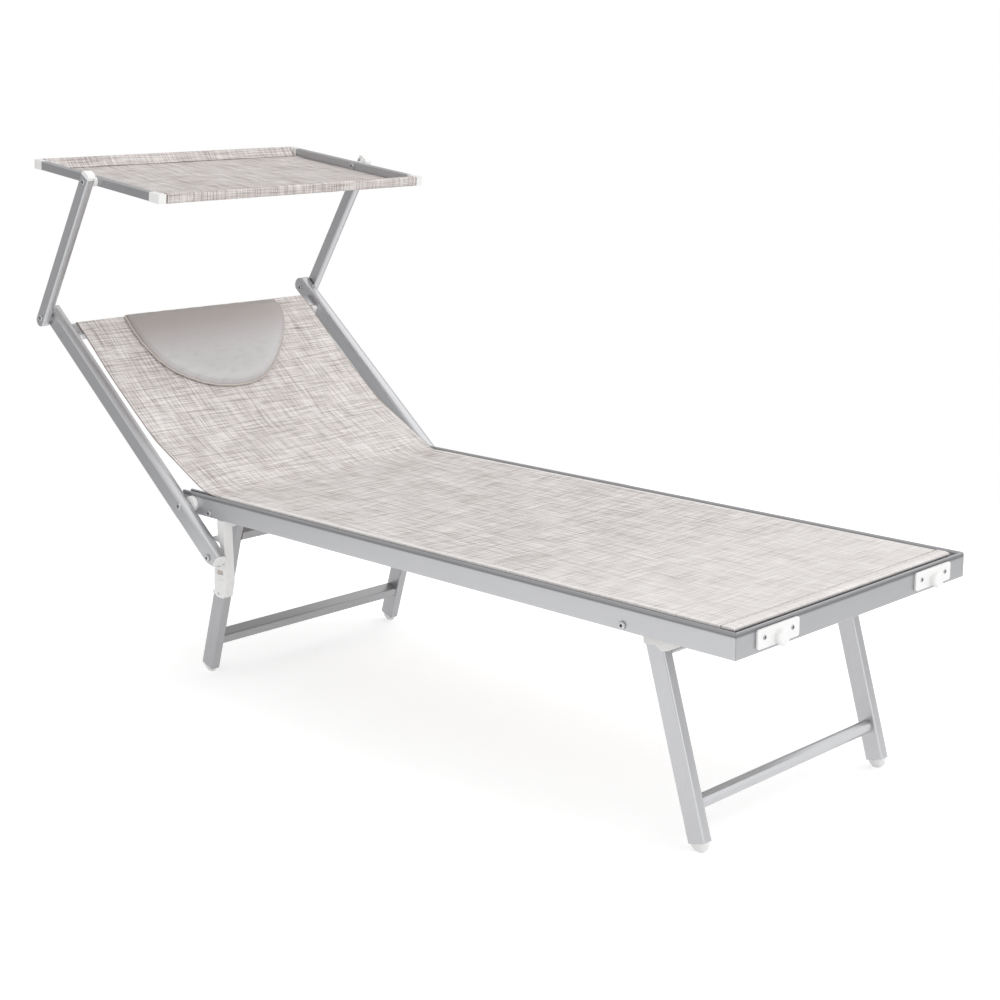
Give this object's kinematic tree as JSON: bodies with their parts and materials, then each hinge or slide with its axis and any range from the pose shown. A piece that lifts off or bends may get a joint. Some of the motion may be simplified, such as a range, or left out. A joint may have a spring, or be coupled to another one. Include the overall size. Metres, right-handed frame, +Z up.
{
  "type": "sun lounger with canopy",
  "caption": "Folding sun lounger with a mesh sling bed, a reclining backrest beside notched racks, a half-moon pillow and a tilting canopy on swinging arms.",
  "frame": {"origin": "middle of the footprint, on the floor", "axes": "+X across the bed, +Y from the foot end to the head end, +Z up"},
  "size_m": [0.7358, 1.8226, 1.0311],
  "materials": {
    "satin_aluminium": "satin anodised tube",
    "bright_aluminium": "brighter satin anodised tube",
    "zinc_steel": "zinc plated fastener",
    "white_plastic": "moulded white",
    "off_white_plastic": "moulded off white",
    "mesh_cloth": "woven coated mesh, off white with beige slubs",
    "pillow_cover": "taupe grey leather look cover"
  },
  "bodies": {
    "bed_frame": {"side_rail_left": "satin_aluminium", "side_rail_right": "satin_aluminium", "foot_rail": "bright_aluminium", "rail_plug_left": "off_white_plastic", "rail_plug_right": "off_white_plastic", "back_pivot_disc_left": "white_plastic", "back_pivot_disc_right": "white_plastic", "back_pivot_bolt_left": "zinc_steel", "back_pivot_bolt_right": "zinc_steel", "recline_rack_left": "off_white_plastic", "recline_rack_right": "off_white_plastic", "front_hinge_block_left": "off_white_plastic", "front_hinge_block_right": "off_white_plastic", "front_leg_bolt_left": "zinc_steel", "front_leg_bolt_right": "zinc_steel", "rear_leg_bolt_left": "zinc_steel", "rear_leg_bolt_right": "zinc_steel", "foot_plate_left": "white_plastic", "foot_plate_right": "white_plastic", "seat_sheet": "mesh_cloth"},
    "front_legs": {"front_leg_left": "satin_aluminium", "front_leg_right": "satin_aluminium", "front_foot_cap_left": "white_plastic", "front_foot_cap_right": "white_plastic", "front_lower_crossbar": "bright_aluminium", "front_upper_crossbar": "satin_aluminium"},
    "rear_legs": {"rear_leg_left": "satin_aluminium", "rear_leg_right": "satin_aluminium", "rear_foot_cap_left": "white_plastic", "rear_foot_cap_right": "white_plastic", "rear_lower_crossbar": "satin_aluminium", "rear_upper_crossbar": "satin_aluminium"},
    "backrest": {"back_tube_left": "satin_aluminium", "back_tube_right": "satin_aluminium", "back_end_cap_left": "white_plastic", "back_end_cap_right": "white_plastic", "catch_bolt_left": "zinc_steel", "catch_bolt_right": "zinc_steel", "top_bar_clip_left": "white_plastic", "top_bar_clip_right": "white_plastic", "back_top_bar": "satin_aluminium", "back_sheet": "mesh_cloth", "headrest_pillow": "pillow_cover"},
    "canopy_arms": {"canopy_arm_left": "satin_aluminium", "canopy_arm_right": "satin_aluminium", "arm_cap_left": "white_plastic", "arm_cap_right": "white_plastic", "arm_lower_bolt_left": "zinc_steel", "arm_lower_bolt_right": "zinc_steel", "arm_upper_bolt_left": "zinc_steel", "arm_upper_bolt_right": "zinc_steel"},
    "canopy": {"canopy_side_tube_left": "satin_aluminium", "canopy_side_tube_right": "satin_aluminium", "canopy_front_corner_left": "white_plastic", "canopy_front_corner_right": "white_plastic", "canopy_rear_corner_left": "off_white_plastic", "canopy_rear_corner_right": "off_white_plastic", "canopy_front_bar": "satin_aluminium", "canopy_rear_bar": "satin_aluminium", "canopy_sheet": "mesh_cloth"}
  },
  "joints": [
    {"name": "front_leg_fold", "type": "hinge", "parent": "bed_frame", "child": "front_legs", "pos_m": [0, -0.67463, 0.364], "axis": [1, 0, 0], "range_deg": [0, 104]},
    {"name": "rear_leg_fold", "type": "hinge", "parent": "bed_frame", "child": "rear_legs", "pos_m": [0, 0.39737, 0.364], "axis": [1, 0, 0], "range_deg": [-106, 0]},
    {"name": "backrest_recline", "type": "hinge", "parent": "bed_frame", "child": "backrest", "pos_m": [0, 0.44817, 0.3759], "axis": [1, 0, 0], "range_deg": [-39.1, 30.9]},
    {"name": "canopy_arm_swing", "type": "hinge", "parent": "backrest", "child": "canopy_arms", "pos_m": [0, 0.87829, 0.70999], "axis": [1, 0, 0], "range_deg": [-40, 40]},
    {"name": "canopy_tilt", "type": "hinge", "parent": "canopy_arms", "child": "canopy", "pos_m": [0, 0.68394, 0.99383], "axis": [1, 0, 0], "range_deg": [-35, 35]}
  ]
}
